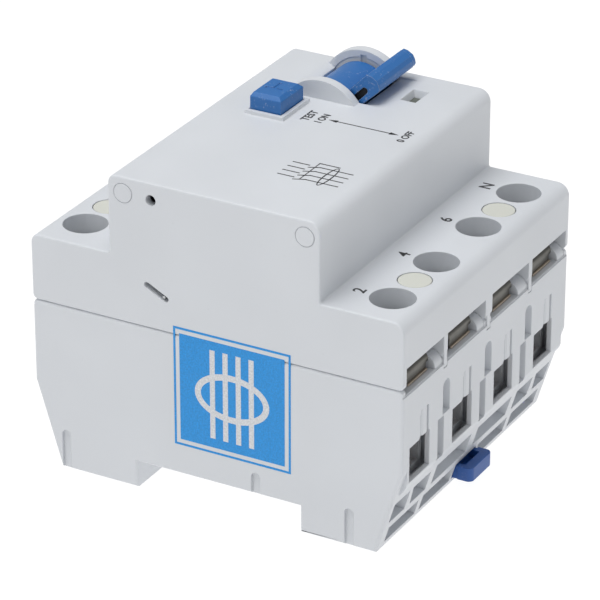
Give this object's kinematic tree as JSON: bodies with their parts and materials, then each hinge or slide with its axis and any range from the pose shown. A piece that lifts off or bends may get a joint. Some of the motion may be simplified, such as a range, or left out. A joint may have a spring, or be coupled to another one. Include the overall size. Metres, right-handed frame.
{
  "type": "residual current circuit breaker",
  "caption": "Four-pole residual current device for a DIN rail: light grey stepped case, blue toggle between round cheeks, blue test button, screw terminals at both ends, blue rail clip.",
  "frame": {"origin": "middle of the feet's underside, under the middle of the case", "axes": "+Z out of the front, +Y towards the line terminals, +X from pole 1 to the neutral pole"},
  "size_m": [0.07, 0.08, 0.0713],
  "materials": {
    "housing": "satin",
    "ivory": "satin",
    "blue": "semi-gloss",
    "dark_blue": "satin",
    "steel": "zinc plated",
    "nickel": "nickel plated",
    "copper": "bare metal",
    "black": "satin",
    "amber": "lacquered",
    "green": "satin"
  },
  "bodies": {
    "housing": {"base": "housing", "cover": "housing", "screw_plug_1": "ivory", "screw_plug_2": "ivory", "screw_plug_3": "ivory", "screw_plug_4": "ivory", "cover_screw_1": "steel", "cover_screw_2": "steel", "cover_screw_3": "steel", "cover_screw_4": "steel", "line_bar_1": "copper", "line_bar_3": "copper", "line_bar_5": "copper", "line_bar_N_line": "copper", "load_conductor_2": "copper", "load_conductor_4": "copper", "load_conductor_6": "copper", "load_conductor_N_load": "copper", "mechanism_frame": "steel", "handle_axle": "steel", "lever_pin": "steel", "trip_relay": "black", "test_contact_strip": "copper", "test_resistor": "amber", "test_button_spring": "steel", "summation_core": "black", "sensing_winding": "copper", "circuit_board": "green", "rail_clip_spring": "steel"},
    "handle": {"handle": "blue"},
    "handle_link": {"handle_link": "steel"},
    "contact_shaft": {"contact_shaft": "black", "moving_contact_1": "copper", "moving_contact_2": "copper", "moving_contact_3": "copper", "moving_contact_4": "copper"},
    "contact_indicator": {"contact_indicator": "green"},
    "auxiliary_lever": {"auxiliary_lever": "steel"},
    "test_button": {"test_button": "blue"},
    "relay_plunger": {"relay_plunger": "steel"},
    "trip_lever": {"trip_lever": "black"},
    "rail_clip": {"rail_clip": "dark_blue"},
    "screw_1": {"terminal_screw_1": "steel"},
    "cage_1": {"clamp_cage_1": "nickel"},
    "screw_3": {"terminal_screw_3": "steel"},
    "cage_3": {"clamp_cage_3": "nickel"},
    "screw_5": {"terminal_screw_5": "steel"},
    "cage_5": {"clamp_cage_5": "nickel"},
    "screw_N_line": {"terminal_screw_N_line": "steel"},
    "cage_N_line": {"clamp_cage_N_line": "nickel"},
    "screw_2": {"terminal_screw_2": "steel"},
    "cage_2": {"clamp_cage_2": "nickel"},
    "screw_4": {"terminal_screw_4": "steel"},
    "cage_4": {"clamp_cage_4": "nickel"},
    "screw_6": {"terminal_screw_6": "steel"},
    "cage_6": {"clamp_cage_6": "nickel"},
    "screw_N_load": {"terminal_screw_N_load": "steel"},
    "cage_N_load": {"clamp_cage_N_load": "nickel"}
  },
  "joints": [
    {"name": "handle_turn", "type": "hinge", "parent": "housing", "child": "handle", "pos_m": [0.02435, 0.0044, 0.0604], "axis": [-1, 0, 0], "range_deg": [0, 88]},
    {"name": "link_turn", "type": "hinge", "parent": "handle", "child": "handle_link", "pos_m": [0.0182, 0.00224, 0.05832], "axis": [-1, 0, 0], "range_deg": [-89.4, 0]},
    {"name": "contact_turn", "type": "hinge", "parent": "housing", "child": "contact_shaft", "pos_m": [0, 0.004, 0.017], "axis": [1, 0, 0], "range_deg": [0, 19.4]},
    {"name": "indicator_slide", "type": "slide", "parent": "housing", "child": "contact_indicator", "axis": [0, 1, 0], "range_m": [0, 0.004]},
    {"name": "auxiliary_turn", "type": "hinge", "parent": "housing", "child": "auxiliary_lever", "pos_m": [-0.0322, 0.0044, 0.0604], "axis": [1, 0, 0], "range_deg": [0, 9]},
    {"name": "test_button_press", "type": "slide", "parent": "housing", "child": "test_button", "axis": [0, 0, -1], "range_m": [0, 0.0013], "stiffness_N_per_m": 500, "springref_m": -0.002, "deforming": ["test_button_spring"]},
    {"name": "relay_strike", "type": "slide", "parent": "housing", "child": "relay_plunger", "axis": [0, 1, 0], "range_m": [0, 0.0025]},
    {"name": "trip_lever_turn", "type": "hinge", "parent": "housing", "child": "trip_lever", "pos_m": [0.0244, 0, 0.046], "axis": [1, 0, 0], "range_deg": [0, 10]},
    {"name": "clip_pull", "type": "slide", "parent": "housing", "child": "rail_clip", "axis": [0, -1, 0], "range_m": [0, 0.004], "stiffness_N_per_m": 600, "springref_m": -0.005, "deforming": ["rail_clip_spring"]},
    {"name": "cage_lift_1", "type": "slide", "parent": "housing", "child": "cage_1", "axis": [0, 0, 1], "range_m": [0, 0.0045]},
    {"name": "screw_turn_1", "type": "hinge", "parent": "housing", "child": "screw_1", "pos_m": [-0.02625, 0.0331, 0.0437], "axis": [0, 0, -1], "range_deg": [0, 2026]},
    {"name": "cage_lift_3", "type": "slide", "parent": "housing", "child": "cage_3", "axis": [0, 0, 1], "range_m": [0, 0.0045]},
    {"name": "screw_turn_3", "type": "hinge", "parent": "housing", "child": "screw_3", "pos_m": [-0.00875, 0.0331, 0.0437], "axis": [0, 0, -1], "range_deg": [0, 2026]},
    {"name": "cage_lift_5", "type": "slide", "parent": "housing", "child": "cage_5", "axis": [0, 0, 1], "range_m": [0, 0.0045]},
    {"name": "screw_turn_5", "type": "hinge", "parent": "housing", "child": "screw_5", "pos_m": [0.00875, 0.0331, 0.0437], "axis": [0, 0, -1], "range_deg": [0, 2026]},
    {"name": "cage_lift_N_line", "type": "slide", "parent": "housing", "child": "cage_N_line", "axis": [0, 0, 1], "range_m": [0, 0.0045]},
    {"name": "screw_turn_N_line", "type": "hinge", "parent": "housing", "child": "screw_N_line", "pos_m": [0.02625, 0.0331, 0.0437], "axis": [0, 0, -1], "range_deg": [0, 2026]},
    {"name": "cage_lift_2", "type": "slide", "parent": "housing", "child": "cage_2", "axis": [0, 0, 1], "range_m": [0, 0.0045]},
    {"name": "screw_turn_2", "type": "hinge", "parent": "housing", "child": "screw_2", "pos_m": [-0.02625, -0.0331, 0.0437], "axis": [0, 0, -1], "range_deg": [0, 2026]},
    {"name": "cage_lift_4", "type": "slide", "parent": "housing", "child": "cage_4", "axis": [0, 0, 1], "range_m": [0, 0.0045]},
    {"name": "screw_turn_4", "type": "hinge", "parent": "housing", "child": "screw_4", "pos_m": [-0.00875, -0.0331, 0.0437], "axis": [0, 0, -1], "range_deg": [0, 2026]},
    {"name": "cage_lift_6", "type": "slide", "parent": "housing", "child": "cage_6", "axis": [0, 0, 1], "range_m": [0, 0.0045]},
    {"name": "screw_turn_6", "type": "hinge", "parent": "housing", "child": "screw_6", "pos_m": [0.00875, -0.0331, 0.0437], "axis": [0, 0, -1], "range_deg": [0, 2026]},
    {"name": "cage_lift_N_load", "type": "slide", "parent": "housing", "child": "cage_N_load", "axis": [0, 0, 1], "range_m": [0, 0.0045]},
    {"name": "screw_turn_N_load", "type": "hinge", "parent": "housing", "child": "screw_N_load", "pos_m": [0.02625, -0.0331, 0.0437], "axis": [0, 0, -1], "range_deg": [0, 2026]}
  ],
  "couplings": [
    {"joint": "link_turn", "follows": "handle_turn", "ratio": -1.0102},
    {"joint": "contact_turn", "follows": "handle_turn", "ratio": 0.2204},
    {"joint": "indicator_slide", "follows": "handle_turn", "m_per_rad": 0.0026},
    {"joint": "auxiliary_turn", "follows": "handle_turn", "ratio": 0.102},
    {"joint": "trip_lever_turn", "follows": "relay_strike", "rad_per_m": 69},
    {"joint": "screw_turn_1", "follows": "cage_lift_1", "rad_per_m": 7854},
    {"joint": "screw_turn_3", "follows": "cage_lift_3", "rad_per_m": 7854},
    {"joint": "screw_turn_5", "follows": "cage_lift_5", "rad_per_m": 7854},
    {"joint": "screw_turn_N_line", "follows": "cage_lift_N_line", "rad_per_m": 7854},
    {"joint": "screw_turn_2", "follows": "cage_lift_2", "rad_per_m": 7854},
    {"joint": "screw_turn_4", "follows": "cage_lift_4", "rad_per_m": 7854},
    {"joint": "screw_turn_6", "follows": "cage_lift_6", "rad_per_m": 7854},
    {"joint": "screw_turn_N_load", "follows": "cage_lift_N_load", "rad_per_m": 7854}
  ]
}
